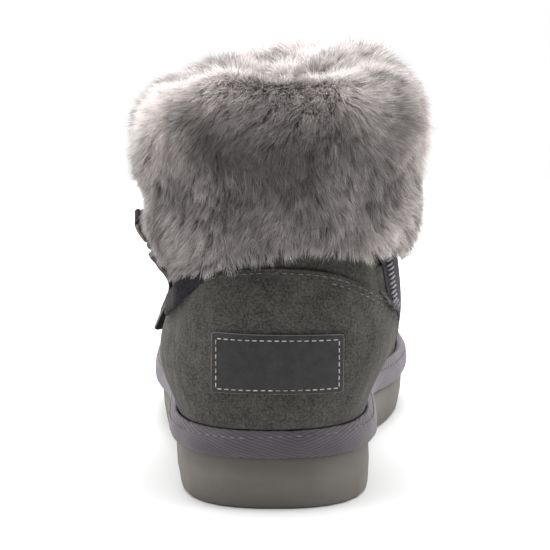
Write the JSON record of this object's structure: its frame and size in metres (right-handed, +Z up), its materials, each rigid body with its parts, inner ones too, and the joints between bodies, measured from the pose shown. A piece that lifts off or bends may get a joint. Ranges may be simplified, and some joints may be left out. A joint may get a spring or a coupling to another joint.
{
  "type": "sheepskin boot",
  "caption": "Short suede sheepskin boot with a deep folded fur cuff, side zip, suede bow, stitched rand and a light wedge sole; left foot.",
  "frame": {"origin": "on the floor, in the middle of the box round the boot without its bow", "axes": "+Z up, +Y from heel to toe, +X towards the inner (medial) side of this left boot"},
  "size_m": [0.114, 0.2866, 0.164],
  "materials": {
    "sole_foam": "smooth moulded light rubber foam, matt",
    "suede": "brushed dark grey suede with a soft mottled nap",
    "rand_leather": "smooth folded binding, finely ribbed, satin",
    "label_leather": "smooth dark leather label, stitched all round, bare",
    "fur": "deep soft wool pile, dark at the roots, pale at the tips",
    "wool_lining": "short clipped wool",
    "zip_cloth": "black woven zip tape",
    "zip_plastic": "grey moulded zip teeth",
    "tie_suede": "flat cut suede strip with paler cut edges"
  },
  "bodies": {
    "root": {"outsole": "sole_foam", "insole": "wool_lining", "upper": "suede", "rand": "rand_leather", "heel_counter": "suede", "heel_patch": "label_leather", "cuff": "fur", "zip_tape": "zip_cloth", "zip_teeth": "zip_plastic", "tie_knot": "tie_suede", "tie_loop_back": "tie_suede", "tie_loop_front": "tie_suede", "tie_tail_back": "tie_suede", "tie_tail_front": "tie_suede"}
  },
  "joints": []
}
